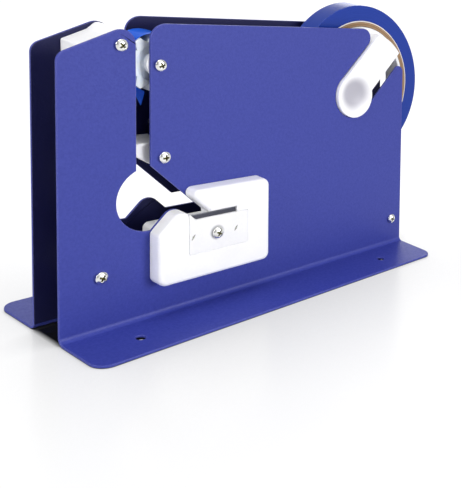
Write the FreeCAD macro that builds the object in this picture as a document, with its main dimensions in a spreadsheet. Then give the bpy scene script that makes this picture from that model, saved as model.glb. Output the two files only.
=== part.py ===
import FreeCAD, Part
import math
import os
import Sketcher
from FreeCAD import Placement, Rotation, Vector

# Bag neck sealer: two folded steel plates stand 21 mm apart on their flanges. The neck of a
# bag is pushed down the slot between the star wheel and the guide block, taped, and drawn
# through the eye into the trimmer on the front plate.
# Frame: +X from the bag slot towards the tape roll, +Y away from the user, +Z up, origin on
# the table at the centre of the four fixing holes.

doc = FreeCAD.newDocument("bag_neck_sealer")
sheet = doc.addObject("Spreadsheet::Sheet", "Sheet")
nodes = []


class Size:
    """A length with its present value and the expression that gives it."""

    def __init__(self, value, text):
        self.value = float(value)
        self.text = text

    def __add__(self, other):
        other = as_size(other)
        return Size(self.value + other.value, "(%s + %s)" % (self.text, other.text))

    def __radd__(self, other):
        return as_size(other) + self

    def __sub__(self, other):
        other = as_size(other)
        return Size(self.value - other.value, "(%s - %s)" % (self.text, other.text))

    def __rsub__(self, other):
        return as_size(other) - self

    def __mul__(self, other):
        other = as_size(other)
        return Size(self.value * other.value, "(%s * %s)" % (self.text, other.text))

    def __rmul__(self, other):
        return as_size(other) * self

    def __truediv__(self, other):
        other = as_size(other)
        return Size(self.value / other.value, "(%s / %s)" % (self.text, other.text))

    def __neg__(self):
        return Size(-self.value, "(0 - %s)" % self.text)


def as_size(number):
    if isinstance(number, Size):
        return number
    return Size(number, "(%.9f)" % number)


def size(alias, value):
    """Write one driving dimension into the sheet and return it."""
    row = len(sheet.getUsedCells()) // 2 + 1
    sheet.set("A%d" % row, alias.replace("_", " "))
    sheet.set("B%d" % row, "%g" % value)
    sheet.setAlias("B%d" % row, alias)
    return Size(value, "Sheet." + alias)


# How far cutting tools reach past a face, and pieces of one body into each other
past = size("past", 1)

# Folded plates
plate_length = size("plate_length", 220)
plate_height = size("plate_height", 150.5)
frame_width = size("frame_width", 21)
sheet_thick = size("sheet_thick", 1.2)
bend_radius = size("bend_radius", 2.5)
flange_depth = size("flange_depth", 29.2)
flange_corner = size("flange_corner", 7)
anchor_edge = size("anchor_edge", 27.5)
anchor_from_end = size("anchor_from_end", 34.5)
anchor_out = size("anchor_out", 15.5)
anchor_radius = size("anchor_radius", 2.25)

# Bag slot, eye and throat
slot_left = size("slot_left", 35.5)
slot_width = size("slot_width", 7.2)
column_drop = size("column_drop", 14.6)
column_slope = size("column_slope", 0.42)
column_round = size("column_round", 5.6)
column_tip_round = size("column_tip_round", 6.8)
mouth_round = size("mouth_round", 8.4)
eye_across = size("eye_across", 42.4)
eye_level = size("eye_level", 62.1)
eye_radius = size("eye_radius", 16.5)
ramp_level = size("ramp_level", 78.8)
ramp_slope = size("ramp_slope", 0.985)
throat_level = size("throat_level", 47.4)
throat_width = size("throat_width", 7.5)
throat_corner = size("throat_corner", 63.7)
throat_end = size("throat_end", 88.25)
bump_level = size("bump_level", 56.95)
bump_round = size("bump_round", 6.1)

# Reel notch, reel and tape
boss_from_end = size("boss_from_end", 44.6)
boss_level = size("boss_level", 107.2)
boss_radius = size("boss_radius", 14.4)
boss_proud = size("boss_proud", 2)
notch_clear = size("notch_clear", 0.3)
notch_tip_round = size("notch_tip_round", 6)
horn_round = size("horn_round", 4.1)
reel_right = size("reel_right", 10.7)
reel_up = size("reel_up", 5.9)
dish_depth = size("dish_depth", 3.2)
dish_rim = size("dish_rim", 1.8)
core_bore = size("core_bore", 76.2)
core_wall = size("core_wall", 3.7)
tape_build = size("tape_build", 10.1)
tape_width = size("tape_width", 12)
strip_thick = size("strip_thick", 0.2)
strip_tail = size("strip_tail", 8)
strip_wrap = size("strip_wrap", 250)
drum_clear = size("drum_clear", 0.3)
drum_wall = size("drum_wall", 2.4)
drum_over = size("drum_over", 0.3)
web_thick = size("web_thick", 3)
web_side = size("web_side", 12)
lug_side = size("lug_side", 8)

# Screws, sleeves and nuts
shank_radius = size("shank_radius", 1.5)
hole_clear = size("hole_clear", 0.2)
head_radius = size("head_radius", 3)
head_height = size("head_height", 2.2)
head_crown = size("head_crown", 3.9)
recess_reach = size("recess_reach", 1.65)
recess_half = size("recess_half", 0.33)
recess_depth = size("recess_depth", 1.2)
frame_screw_length = size("frame_screw_length", 25)
nut_flats = size("nut_flats", 5.5)
nut_height = size("nut_height", 2.4)
washer_radius = size("washer_radius", 3.5)
washer_thick = size("washer_thick", 0.5)
sleeve_radius = size("sleeve_radius", 3.5)
running_clear = size("running_clear", 0.06)
guide_screw_across = size("guide_screw_across", 28.3)
guide_screw_up = size("guide_screw_up", 4)
corner_screw_across = size("corner_screw_across", 18.4)
corner_screw_level = size("corner_screw_level", 27.9)
tail_screw_from_end = size("tail_screw_from_end", 9.1)
tail_screw_level = size("tail_screw_level", 18.5)

# Star wheel
wheel_across = size("wheel_across", 47.5)
wheel_level = size("wheel_level", 129.7)
wheel_radius = size("wheel_radius", 14.6)
wheel_width = size("wheel_width", 13)
wheel_teeth = 10
tooth_depth = size("tooth_depth", 3.6)
tooth_gap = size("tooth_gap", 8.2)
wheel_recess = size("wheel_recess", 1)
wheel_hub = size("wheel_hub", 5.6)
wheel_rim = size("wheel_rim", 9.2)
tape_clear = size("tape_clear", 0.3)
side_play = size("side_play", 0.2)
collar_radius = size("collar_radius", 6)

# Cutter lever, knife and spring
lever_across = size("lever_across", 49.5)
lever_level = size("lever_level", 82.5)
lever_top = size("lever_top", 94)
lever_shoulder = size("lever_shoulder", 88.3)
lever_nose = size("lever_nose", 33)
lever_back = size("lever_back", 57)
lever_under = size("lever_under", 75.6)
lever_round = size("lever_round", 1.5)
lever_arm_round = size("lever_arm_round", 4)
nose_under = size("nose_under", 86)
head_side = size("head_side", 1.9)
arm_side = size("arm_side", 2.9)
spring_room = size("spring_room", 5.9)
knife_across = size("knife_across", 52.5)
knife_thick = size("knife_thick", 0.5)
knife_height = size("knife_height", 11)
knife_proud = size("knife_proud", 4)
knife_tooth = size("knife_tooth", 1)
knife_teeth = 8
wire_radius = size("wire_radius", 0.4)
coil_radius = size("coil_radius", 4.4)
coil_pitch = size("coil_pitch", 0.9)
coil_turns = 4
spring_leg = size("spring_leg", 10.5)

# Slot guide block
guide_left = size("guide_left", 12.5)
guide_leg = size("guide_leg", 24)
guide_right = size("guide_right", 35)
guide_shoulder_drop = size("guide_shoulder_drop", 5.9)
guide_drop = size("guide_drop", 3.4)
guide_sink = size("guide_sink", 2.4)
guide_round = size("guide_round", 3)
guide_edge = size("guide_edge", 1)
wheel_room = size("wheel_room", 1.6)
stop_gap = size("stop_gap", 0.3)

# Trimmer
block_thick = size("block_thick", 8)
block_left = size("block_left", 42)
block_right = size("block_right", 106.1)
block_low = size("block_low", 18.2)
block_high = size("block_high", 65.2)
block_corner = size("block_corner", 4)
block_edge = size("block_edge", 2.2)
jaw_round = size("jaw_round", 3)
jaw_end = size("jaw_end", 69.5)
clamp_left = size("clamp_left", 57.5)
clamp_right = size("clamp_right", 91.8)
clamp_low = size("clamp_low", 31.8)
clamp_high = size("clamp_high", 50)
clamp_thick = size("clamp_thick", 1.2)
clamp_clear = size("clamp_clear", 0.1)
clamp_round = size("clamp_round", 1)
window_high = size("window_high", 53.2)
window_right = size("window_right", 85)
blade_thick = size("blade_thick", 0.5)
blade_left = size("blade_left", 58.2)
blade_right = size("blade_right", 88)
blade_low = size("blade_low", 35)
blade_high = size("blade_high", 52.3)
blade_shoulder = size("blade_shoulder", 49)
blade_bevel = size("blade_bevel", 1.2)
clamp_screw_across = size("clamp_screw_across", 73.2)
clamp_screw_level = size("clamp_screw_level", 40.9)
pin_across = size("pin_across", 72.1)
pin_pitch = size("pin_pitch", 24.6)
pin_radius = size("pin_radius", 0.8)
pin_length = size("pin_length", 5)
insert_radius = size("insert_radius", 2.6)
insert_length = size("insert_length", 4)
clamp_screw_length = size("clamp_screw_length", 5.5)
backing_left = size("backing_left", 44)
backing_right = size("backing_right", 101)
backing_low = size("backing_low", 22)
backing_gap = size("backing_gap", 0.6)
backing_thick = size("backing_thick", 7.8)
backing_round = size("backing_round", 3)
trim_screw_left = size("trim_screw_left", 51)
trim_screw_right = size("trim_screw_right", 97.5)
trim_screw_level = size("trim_screw_level", 26.5)
trim_screw_length = size("trim_screw_length", 14)
tip_room = size("tip_room", 0.5)

doc.recompute()

# Values that several pieces share, all measured from the left end of the plates
anchor_pitch = plate_length - anchor_edge - anchor_from_end
origin_across = anchor_edge + anchor_pitch / 2
face = frame_width / 2
inner = face - sheet_thick
slot_right = slot_left + slot_width
column_height = plate_height - column_drop
slant_top = column_height + column_slope * slot_left
guide_screw_level = column_height + guide_screw_up
guide_shoulder = column_height - guide_shoulder_drop
guide_top = slant_top - guide_drop
tail_screw_across = plate_length - tail_screw_from_end
boss_across = plate_length - boss_from_end
head_half = inner - head_side
arm_half = inner - arm_side
arm_rear = inner - spring_room
throat_high = throat_level + throat_width
ramp_foot = slot_right + (ramp_level - throat_high) / ramp_slope
eye_bottom = eye_level - eye_radius
ramp_top = eye_level + eye_radius + past
bump_across = throat_corner - (bump_level - throat_level)
eye_foot = eye_bottom - past
notch_radius = boss_radius + notch_clear
reel_across = boss_across + reel_right
reel_level = boss_level + reel_up
bore_radius = core_bore / 2
core_radius = bore_radius + core_wall
roll_radius = core_radius + tape_build
drum_radius = bore_radius - drum_clear
drum_inside = drum_radius - drum_wall
drum_half = tape_width / 2 + drum_over
hole_radius = shank_radius + hole_clear
sleeve_bore = sleeve_radius + running_clear
block_face = face + block_thick
backing_high = throat_level - backing_gap
COS = math.sqrt(0.5)


def value(number):
    return as_size(number).value


def bind(thing, name, number):
    """Tie one property of an object to the sheet."""
    thing.setExpression(name, as_size(number).text)


def place(thing, across, depth, level, rotation=None):
    thing.Placement = Placement(Vector(value(across), value(depth), value(level)),
                                rotation or Rotation())
    bind(thing, "Placement.Base.x", across)
    bind(thing, "Placement.Base.y", depth)
    bind(thing, "Placement.Base.z", level)
    return thing


def add(kind, name):
    return doc.addObject(kind, name)


def box(name, low, high):
    """Part::Box between two corners."""
    thing = add("Part::Box", name)
    bind(thing, "Length", as_size(high[0]) - low[0])
    bind(thing, "Width", as_size(high[1]) - low[1])
    bind(thing, "Height", as_size(high[2]) - low[2])
    return place(thing, low[0], low[1], low[2])


def rod(name, radius, across, level, near, far):
    """Part::Cylinder along +Y from depth near to depth far."""
    thing = add("Part::Cylinder", name)
    bind(thing, "Radius", radius)
    bind(thing, "Height", as_size(far) - near)
    return place(thing, across, near, level, Rotation(Vector(1, 0, 0), -90))


def ball(name, radius, across, depth, level):
    thing = add("Part::Sphere", name)
    bind(thing, "Radius", radius)
    return place(thing, across, depth, level, Rotation(Vector(1, 0, 0), -90))


def cut(name, base, tool):
    thing = add("Part::Cut", name)
    thing.Base = base
    thing.Tool = tool
    return thing


def common(name, base, tool):
    thing = add("Part::Common", name)
    thing.Base = base
    thing.Tool = tool
    return thing


def fuse(name, things):
    thing = add("Part::MultiFuse", name)
    thing.Shapes = things
    return thing


def group(name, things):
    """Several separate solids in one node."""
    thing = add("Part::Compound", name)
    thing.Links = things
    return thing


def ring(name, outer, hole, across, level, near, far):
    return cut(name, rod(name + "_body", outer, across, level, near, far),
               rod(name + "_bore", hole, across, level, near - past, far + past))


def finish(thing, label):
    """Name a finished sub-part and move it from plate lengths into the part's own frame."""
    thing.Label = label
    bind(thing, "Placement.Base.x", -origin_across)
    nodes.append(thing)
    return thing


def fix(rules, geometry, point, across, up):
    """Distances of one sketch point from the sketch's origin."""
    for kind, axis, number in (("DistanceX", -2, across), ("DistanceY", -1, up)):
        number = as_size(number)
        if abs(number.value) < 1e-9:
            rules.append((Sketcher.Constraint("PointOnObject", geometry, point, axis), None))
        else:
            rules.append((Sketcher.Constraint(kind, -1, 1, geometry, point, number.value), number))


def add_loop(sketch, rules, corners):
    """Closed outline with straight sides, each corner given as across, up and radius."""
    points = [Vector(value(c[0]), value(c[1]), 0) for c in corners]
    count = len(corners)
    ends = []
    for i, point in enumerate(points):
        radius = value(corners[i][2])
        back = points[i - 1] - point
        ahead = points[(i + 1) % count] - point
        back.normalize()
        ahead.normalize()
        half = back.getAngle(ahead) / 2
        reach = radius / math.tan(half)
        middle = back + ahead
        middle.normalize()
        centre = point + middle * (radius / math.sin(half))
        left = back.cross(ahead).z < 0
        ends.append((point + back * reach, point + ahead * reach, centre, radius, left))
    lines = []
    for i in range(count):
        lines.append(sketch.addGeometry(Part.LineSegment(ends[i][1], ends[(i + 1) % count][0])))
    for i, point in enumerate(points):
        before = lines[i - 1]
        after = lines[i]
        start, stop, centre, radius, left = ends[i]
        if radius == 0:
            rules.append((Sketcher.Constraint("Coincident", before, 2, after, 1), None))
            fix(rules, after, 1, corners[i][0], corners[i][1])
            continue
        first = start if left else stop
        last = stop if left else start
        begin = math.atan2(first.y - centre.y, first.x - centre.x)
        end = math.atan2(last.y - centre.y, last.x - centre.x)
        if end < begin:
            end += 2 * math.pi
        circle = Part.Circle(centre, Vector(0, 0, 1), radius)
        arc = sketch.addGeometry(Part.ArcOfCircle(circle, begin, end))
        corner = sketch.addGeometry(Part.Point(point), True)
        rules.append((Sketcher.Constraint("Tangent", before, 2, arc, 1 if left else 2), None))
        rules.append((Sketcher.Constraint("Tangent", arc, 2 if left else 1, after, 1), None))
        rules.append((Sketcher.Constraint("PointOnObject", corner, 1, before), None))
        rules.append((Sketcher.Constraint("PointOnObject", corner, 1, after), None))
        rules.append((Sketcher.Constraint("Radius", arc, radius), as_size(corners[i][2])))
        fix(rules, corner, 1, corners[i][0], corners[i][1])


def draw(body, name, role, offset, loops=(), circles=()):
    """Sketch on one of the body's own origin planes, moved along the plane's normal."""
    sketch = body.newObject("Sketcher::SketchObject", name)
    plane = [f for f in body.Origin.OriginFeatures if f.Role == role][0]
    sketch.AttachmentSupport = [(plane, "")]
    sketch.MapMode = "FlatFace"
    bind(sketch, "AttachmentOffset.Base.z", offset)
    rules = []
    for loop in loops:
        add_loop(sketch, rules, loop)
    for across, up, radius in circles:
        centre = Vector(value(across), value(up), 0)
        circle = sketch.addGeometry(Part.Circle(centre, Vector(0, 0, 1), value(radius)))
        rules.append((Sketcher.Constraint("Radius", circle, value(radius)), as_size(radius)))
        fix(rules, circle, 3, across, up)
    sketch.addConstraint([rule for rule, number in rules])
    for index, (rule, number) in enumerate(rules):
        if number is not None:
            sketch.setExpression("Constraints[%d]" % index, number.text)
    return sketch


def new_body(name):
    return add("PartDesign::Body", name)


def pad(body, name, role, near, far, loops=(), circles=()):
    """Pad between two offsets: along +X from YZ, +Z from XY, and depth near to far from XZ."""
    if role == "XZ_Plane":
        sketch = draw(body, name + "_sketch", role, -as_size(far), loops, circles)
    else:
        sketch = draw(body, name + "_sketch", role, near, loops, circles)
    thing = body.newObject("PartDesign::Pad", name)
    thing.Profile = sketch
    bind(thing, "Length", as_size(far) - near)
    body.Tip = thing
    return thing


def pocket(body, name, near, far, loops=(), circles=()):
    """Cut along Y between depth near and depth far."""
    sketch = draw(body, name + "_sketch", "XZ_Plane", -as_size(far), loops, circles)
    thing = body.newObject("PartDesign::Pocket", name)
    thing.Profile = sketch
    thing.Reversed = True
    bind(thing, "Length", as_size(far) - near)
    body.Tip = thing
    return thing


def pocket_up(body, name, low, high, circles):
    """Cut round holes along Z between two levels."""
    sketch = draw(body, name + "_sketch", "XY_Plane", high, (), circles)
    thing = body.newObject("PartDesign::Pocket", name)
    thing.Profile = sketch
    bind(thing, "Length", as_size(high) - low)
    body.Tip = thing
    return thing


frame_holes = [
    (guide_screw_across, guide_screw_level),
    (wheel_across, wheel_level),
    (lever_across, lever_level),
    (corner_screw_across, corner_screw_level),
    (tail_screw_across, tail_screw_level),
]
trim_holes = [
    (trim_screw_left, trim_screw_level),
    (trim_screw_right, trim_screw_level),
]


def folded_plate(label, side, extra):
    """Side plate with its outward flange. side is -1 for the front and 1 for the rear."""
    body = new_body(label)
    fold = sheet_thick + bend_radius
    wall = notch_radius * (1 / COS)
    shift = boss_across - boss_level
    far = notch_radius * COS
    outline = [
        (0, fold, 0),
        (plate_length, fold, 0),
        (plate_length, plate_length - shift - wall, horn_round),
        (boss_across + far, boss_level - far, 0),
        (boss_across - far, boss_level + far, 0),
        (plate_height + shift - wall, plate_height, notch_tip_round),
        (slot_right, plate_height, mouth_round),
        (slot_right, ramp_level, 0),
        (ramp_foot, throat_high, 0),
        (throat_end, throat_high, 0),
        (throat_end, throat_level, 0),
        (throat_corner, throat_level, 0),
        (bump_across, bump_level, bump_round),
        (bump_across - bump_round, bump_level - bump_round, 0),
        (eye_across, eye_level, 0),
        (slot_left, eye_level, 0),
        (slot_left, slant_top, column_tip_round),
        (0, column_height, column_round),
    ]
    depths = (-face, -inner) if side < 0 else (inner, face)
    pad(body, label + "_wall", "XZ_Plane", depths[0], depths[1], [outline])
    lap = bend_radius / 2
    bend = [
        (side * face, fold + lap, 0),
        (side * face, sheet_thick, bend_radius),
        (side * (face + bend_radius + lap), sheet_thick, 0),
        (side * (face + bend_radius + lap), 0, 0),
        (side * inner, 0, bend_radius + sheet_thick),
        (side * inner, fold + lap, 0),
    ]
    pad(body, label + "_bend", "YZ_Plane", 0, plate_length, [bend])
    edge = side * (face + flange_depth)
    foot = [
        (0, side * (face + bend_radius), 0),
        (plate_length, side * (face + bend_radius), 0),
        (plate_length, edge, flange_corner),
        (0, edge, flange_corner),
    ]
    pad(body, label + "_flange", "XY_Plane", 0, sheet_thick, [foot])
    rounds = [
        (boss_across, boss_level, notch_radius),
        (eye_across, eye_level, eye_radius),
        (throat_end, throat_level + throat_width / 2, throat_width / 2),
    ]
    pocket(body, label + "_eyes", -frame_width, frame_width, (), rounds)
    ramp = [
        (slot_right, ramp_level, 0),
        (ramp_foot, throat_high, 0),
        (ramp_foot, ramp_top, 0),
        (slot_right, ramp_top, 0),
    ]
    pad(body, label + "_ramp", "XZ_Plane", depths[0], depths[1], [ramp])
    bump = [
        (throat_corner, throat_level, 0),
        (bump_across, bump_level, bump_round),
        (bump_across - (bump_level - eye_foot), eye_foot, 0),
        (throat_corner, eye_foot, 0),
    ]
    pad(body, label + "_bump", "XZ_Plane", depths[0], depths[1], [bump])
    drilled = [(across, level, hole_radius) for across, level in frame_holes + extra]
    pocket(body, label + "_screw_holes", -frame_width, frame_width, (), drilled)
    row = side * (face + anchor_out)
    anchors = [
        (anchor_edge, row, anchor_radius),
        (anchor_edge + anchor_pitch, row, anchor_radius),
    ]
    pocket_up(body, label + "_anchor_holes", -sheet_thick, 2 * sheet_thick, anchors)
    return finish(body, label)


front_plate = folded_plate("front_plate", -1, trim_holes)
rear_plate = folded_plate("rear_plate", 1, [])


def pan_screw(name, across, level, seat, length, way):
    """Pan head screw with a cross recess. way 1 points the shank along +Y, -1 along -Y."""
    top = seat - way * head_height
    centre = top + way * head_crown
    low, high = (top, seat) if way > 0 else (seat, top)
    head = common(name + "_head", rod(name + "_blank", head_radius, across, level, low, high),
                  ball(name + "_crown", head_crown, across, centre, level))
    tip = seat + way * length
    low, high = (seat, tip) if way > 0 else (tip, seat)
    shank = rod(name + "_shank", shank_radius, across, level, low, high)
    solid = fuse(name + "_solid", [head, shank])
    deep = top + way * recess_depth
    outer = top - way * past
    low, high = (outer, deep) if way > 0 else (deep, outer)
    bars = [
        box(name + tag, (across - wide, low, level - tall), (across + wide, high, level + tall))
        for tag, wide, tall in (("_bar", recess_reach, recess_half),
                                ("_stem", recess_half, recess_reach))
    ]
    return cut(name, solid, fuse(name + "_recess", bars))


def hex_nut(name, across, level, near):
    """Hexagon nut along +Y from depth near."""
    thing = add("Part::Prism", name + "_hexagon")
    thing.Polygon = 6
    bind(thing, "Circumradius", nut_flats / math.sqrt(3))
    bind(thing, "Height", nut_height)
    place(thing, across, near, level, Rotation(Vector(1, 0, 0), -90))
    tap = rod(name + "_tap", shank_radius, across, level, near - past, near + nut_height + past)
    return cut(name, thing, tap)


screws = []
washers = []
nuts = []
for index, (hole_across, hole_level) in enumerate(frame_holes):
    tag = "_%d" % index
    screws.append(pan_screw("frame_screw" + tag, hole_across, hole_level, -face,
                            frame_screw_length, 1))
    washers.append(ring("frame_washer" + tag, washer_radius, hole_radius, hole_across,
                        hole_level, face, face + washer_thick))
    nuts.append(hex_nut("frame_nut" + tag, hole_across, hole_level, face + washer_thick))
finish(group("frame_screws", screws), "frame_screws")
finish(group("frame_washers", washers), "frame_washers")
finish(group("frame_nuts", nuts), "frame_nuts")

sleeves = []
for index, (hole_across, hole_level) in enumerate(frame_holes[1:]):
    sleeves.append(ring("sleeve_%d" % index, sleeve_radius, hole_radius, hole_across,
                        hole_level, -inner, inner))
finish(group("spacer_sleeves", sleeves), "spacer_sleeves")

# Guide block between the plates in the left column, with a pocket around the star wheel
guide = new_body("slot_guide_block")
guide_foot = lever_top + stop_gap
slant_start = column_height + column_slope * guide_left - guide_sink
guide_outline = [
    (guide_leg, guide_foot, guide_round),
    (guide_right, guide_foot, guide_edge),
    (guide_right, guide_top - guide_sink, guide_round),
    (guide_screw_across, guide_top, guide_round),
    (guide_leg, column_height + column_slope * guide_leg - guide_sink, guide_round),
    (guide_left, slant_start, guide_edge),
    (guide_left, guide_shoulder, guide_round),
    (guide_leg, guide_shoulder - guide_sink, guide_round),
]
pad(guide, "guide_block", "XZ_Plane", -inner, inner, [guide_outline])
pocket(guide, "guide_holes", -inner - past, inner + past, (), [
    (guide_screw_across, guide_screw_level, hole_radius),
    (wheel_across, wheel_level, wheel_radius + wheel_room),
])
finish(guide, "slot_guide_block")

# Star wheel that carries the tape, turning on its sleeve between two collars
wheel = new_body("star_wheel")
half_wheel = wheel_width / 2
pad(wheel, "wheel_blank", "XZ_Plane", -half_wheel, half_wheel, (),
    [(wheel_across, wheel_level, wheel_radius), (wheel_across, wheel_level, sleeve_bore)])
for name, near, far in (("front", -half_wheel - past, wheel_recess - half_wheel),
                        ("rear", half_wheel - wheel_recess, half_wheel + past)):
    pocket(wheel, "wheel_recess_" + name, near, far, (),
           [(wheel_across, wheel_level, wheel_rim), (wheel_across, wheel_level, wheel_hub)])
for index in range(wheel_teeth):
    turn = 2 * math.pi * index / wheel_teeth
    crossing = tooth_gap / 2
    rim = wheel_radius + past
    root = wheel_radius - tooth_depth
    notch = []
    for radius, offset in ((root, 0), (rim, -crossing), (rim, crossing)):
        notch.append((wheel_across + radius * math.cos(turn) - offset * math.sin(turn),
                      wheel_level + radius * math.sin(turn) + offset * math.cos(turn), 0))
    pocket(wheel, "tooth_gap_%d" % index, -half_wheel - past, half_wheel + past, [notch])
finish(wheel, "star_wheel")

collar_inner = half_wheel + side_play
finish(group("wheel_collars", [
    ring("collar_front", collar_radius, sleeve_radius, wheel_across, wheel_level,
         -inner, -collar_inner),
    ring("collar_rear", collar_radius, sleeve_radius, wheel_across, wheel_level,
         collar_inner, inner),
]), "wheel_collars")

# Cutter lever: its nose closes the foot of the slot and gives way to the bag neck
lever = new_body("cutter_lever")
arm_outline = [
    (lever_nose, nose_under, lever_round),
    (lever_across, lever_under, lever_arm_round),
    (lever_back, lever_under, lever_arm_round),
    (lever_back, lever_shoulder + past, 0),
    (lever_nose, lever_shoulder + past, 0),
]
pad(lever, "lever_arm", "XZ_Plane", -arm_half, arm_rear, [arm_outline])
head_outline = [
    (lever_nose, lever_shoulder, 0),
    (lever_back, lever_shoulder, 0),
    (lever_back, lever_top, lever_round),
    (lever_nose, lever_top, lever_round),
]
pad(lever, "lever_head", "XZ_Plane", -head_half, head_half, [head_outline])
pocket(lever, "lever_bore", -head_half - past, head_half + past, (),
       [(lever_across, lever_level, sleeve_bore)])
slit = knife_thick / 2
knife_top = lever_top + knife_proud
pocket(lever, "lever_slit", -arm_half, arm_half, [[
    (knife_across - slit, knife_top - knife_height, 0),
    (knife_across + slit, knife_top - knife_height, 0),
    (knife_across + slit, lever_top + past, 0),
    (knife_across - slit, lever_top + past, 0),
]])
finish(lever, "cutter_lever")

# Serrated tape knife standing in the slit of the lever
knife = new_body("tape_knife")
pitch = 2 * arm_half / knife_teeth
knife_outline = [(-arm_half, knife_top - knife_height, 0), (arm_half, knife_top - knife_height, 0)]
for index in range(knife_teeth):
    knife_outline.append((arm_half - index * pitch, knife_top - knife_tooth, 0))
    knife_outline.append((arm_half - (index + 0.5) * pitch, knife_top, 0))
knife_outline.append((-arm_half, knife_top - knife_tooth, 0))
pad(knife, "knife_blank", "YZ_Plane", knife_across - slit, knife_across + slit, [knife_outline])
finish(knife, "tape_knife")

# Torsion spring on the lever's sleeve: one leg under the head, one leg to the right
coil_slope = coil_pitch.value / (2 * math.pi * coil_radius.value)
leg_length = spring_leg.value
coil_start = arm_rear.value + stop_gap.value + wire_radius.value + coil_slope * leg_length
helix = Part.makeHelix(coil_pitch.value, coil_pitch.value * coil_turns, coil_radius.value)
helix.rotate(Vector(0, 0, 0), Vector(0, 0, 1), -90)
helix.rotate(Vector(0, 0, 0), Vector(1, 0, 0), -90)
helix.translate(Vector(lever_across.value, coil_start, lever_level.value))
coil_edge = helix.Edges[0]
head_end = coil_edge.valueAt(coil_edge.FirstParameter)
tail_end = coil_edge.valueAt(coil_edge.LastParameter)
head_way = coil_edge.tangentAt(coil_edge.FirstParameter)
tail_way = coil_edge.tangentAt(coil_edge.LastParameter)
spring_path = Part.Wire([
    Part.makeLine(head_end - head_way * leg_length, head_end),
    coil_edge,
    Part.makeLine(tail_end, tail_end + tail_way * leg_length),
])
wire_disc = Part.Wire(Part.makeCircle(wire_radius.value, head_end - head_way * leg_length, head_way))
spring = add("Part::Feature", "lever_spring")
spring.Shape = spring_path.makePipeShell([wire_disc], True, True)
finish(spring, "lever_spring")

# Reel arbor: open drum, web on the user's side, dished bosses and keyed lugs in both notches
drum = ring("drum_wall", drum_radius, drum_inside, reel_across, reel_level, -drum_half, drum_half)
web_disc = rod("web_disc", drum_inside + drum_wall / 2, reel_across, reel_level,
               -drum_half, web_thick - drum_half)
boss_end = face + boss_proud
boss = rod("boss_rod", boss_radius, boss_across, boss_level, -boss_end, boss_end)


def notch_bar(name, low_side, high_side, start, stop, half):
    """Bar along the notch direction, its sides measured across it from the boss centre."""
    thing = add("Part::Box", name)
    bind(thing, "Length", as_size(stop) - start)
    bind(thing, "Width", 2 * as_size(half))
    bind(thing, "Height", as_size(high_side) - low_side)
    corner_across = boss_across + COS * as_size(start) - COS * as_size(low_side)
    corner_level = boss_level + COS * as_size(start) + COS * as_size(low_side)
    return place(thing, corner_across, -as_size(half), corner_level,
                 Rotation(Vector(0, 1, 0), -45))


reach = 2 * drum_radius
window_bar = notch_bar("web_window", -reach, -web_side, -reach, reach, drum_half + past)
web = cut("web", web_disc, window_bar)
lug_bar = notch_bar("lug_bar", -lug_side, boss_radius - notch_clear, 0, reach, boss_end)
lug = common("lug", lug_bar, rod("lug_limit", drum_inside, reel_across, reel_level,
                                 -boss_end, boss_end))
dish_radius = boss_radius - dish_rim
dish_ball = (dish_radius * dish_radius + dish_depth * dish_depth) / (2 * dish_depth)
dishes = []
for name, way in (("front", -1), ("rear", 1)):
    depth = way * (boss_end - dish_depth + dish_ball)
    dishes.append(ball("dish_" + name, dish_ball, boss_across, depth, boss_level))
arbor = cut("reel_arbor", fuse("arbor_solid", [drum, web, lug, boss]), fuse("dishes", dishes))
finish(arbor, "reel_arbor")

half_tape = tape_width / 2
finish(ring("tape_core", core_radius, bore_radius, reel_across, reel_level,
            -half_tape, half_tape), "tape_core")
finish(ring("tape_roll", roll_radius, core_radius, reel_across, reel_level,
            -half_tape, half_tape), "tape_roll")

# Tape from the underside of the roll over the star wheel, with a free tail below it
near_radius = wheel_radius.value + tape_clear.value
far_radius = roll_radius.value + tape_clear.value
hub = Vector(wheel_across.value, 0, wheel_level.value)
reel = Vector(reel_across.value, 0, reel_level.value)
span = reel - hub
lean = math.atan2(span.z, span.x) - math.asin((near_radius + far_radius) / span.Length)


def polar(angle, radius):
    return Vector(radius * math.cos(angle), 0, radius * math.sin(angle))


leave = lean + math.pi / 2
wrap = math.radians(strip_wrap.value)
thick = strip_thick.value
bend = 2 * math.pi - math.acos((near_radius * math.cos(wrap) - thick) / (near_radius + thick))
inside = [reel - polar(leave, far_radius), hub + polar(leave, near_radius),
          hub + polar(wrap, near_radius)]
outside = [reel - polar(leave, far_radius - thick), hub + polar(leave, near_radius + thick),
           hub + polar(bend, near_radius + thick)]
tail_end = inside[2] - Vector(0, 0, strip_tail.value)
cut_end = Vector(outside[2].x, 0, tail_end.z)
edges = [
    Part.makeLine(inside[0], inside[1]),
    Part.Arc(inside[1], hub + polar((leave + wrap) / 2, near_radius), inside[2]).toShape(),
    Part.makeLine(inside[2], tail_end),
    Part.makeLine(tail_end, cut_end),
    Part.makeLine(cut_end, outside[2]),
    Part.Arc(outside[2], hub + polar((leave + bend) / 2, near_radius + thick),
             outside[1]).toShape(),
    Part.makeLine(outside[1], outside[0]),
    Part.makeLine(outside[0], inside[0]),
]
strip_shape = Part.Face(Part.Wire(edges)).extrude(Vector(0, tape_width.value, 0))
strip_shape.translate(Vector(0, -half_tape.value, 0))
strip = add("Part::Feature", "tape_strip")
strip.Shape = strip_shape
finish(strip, "tape_strip")

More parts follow.
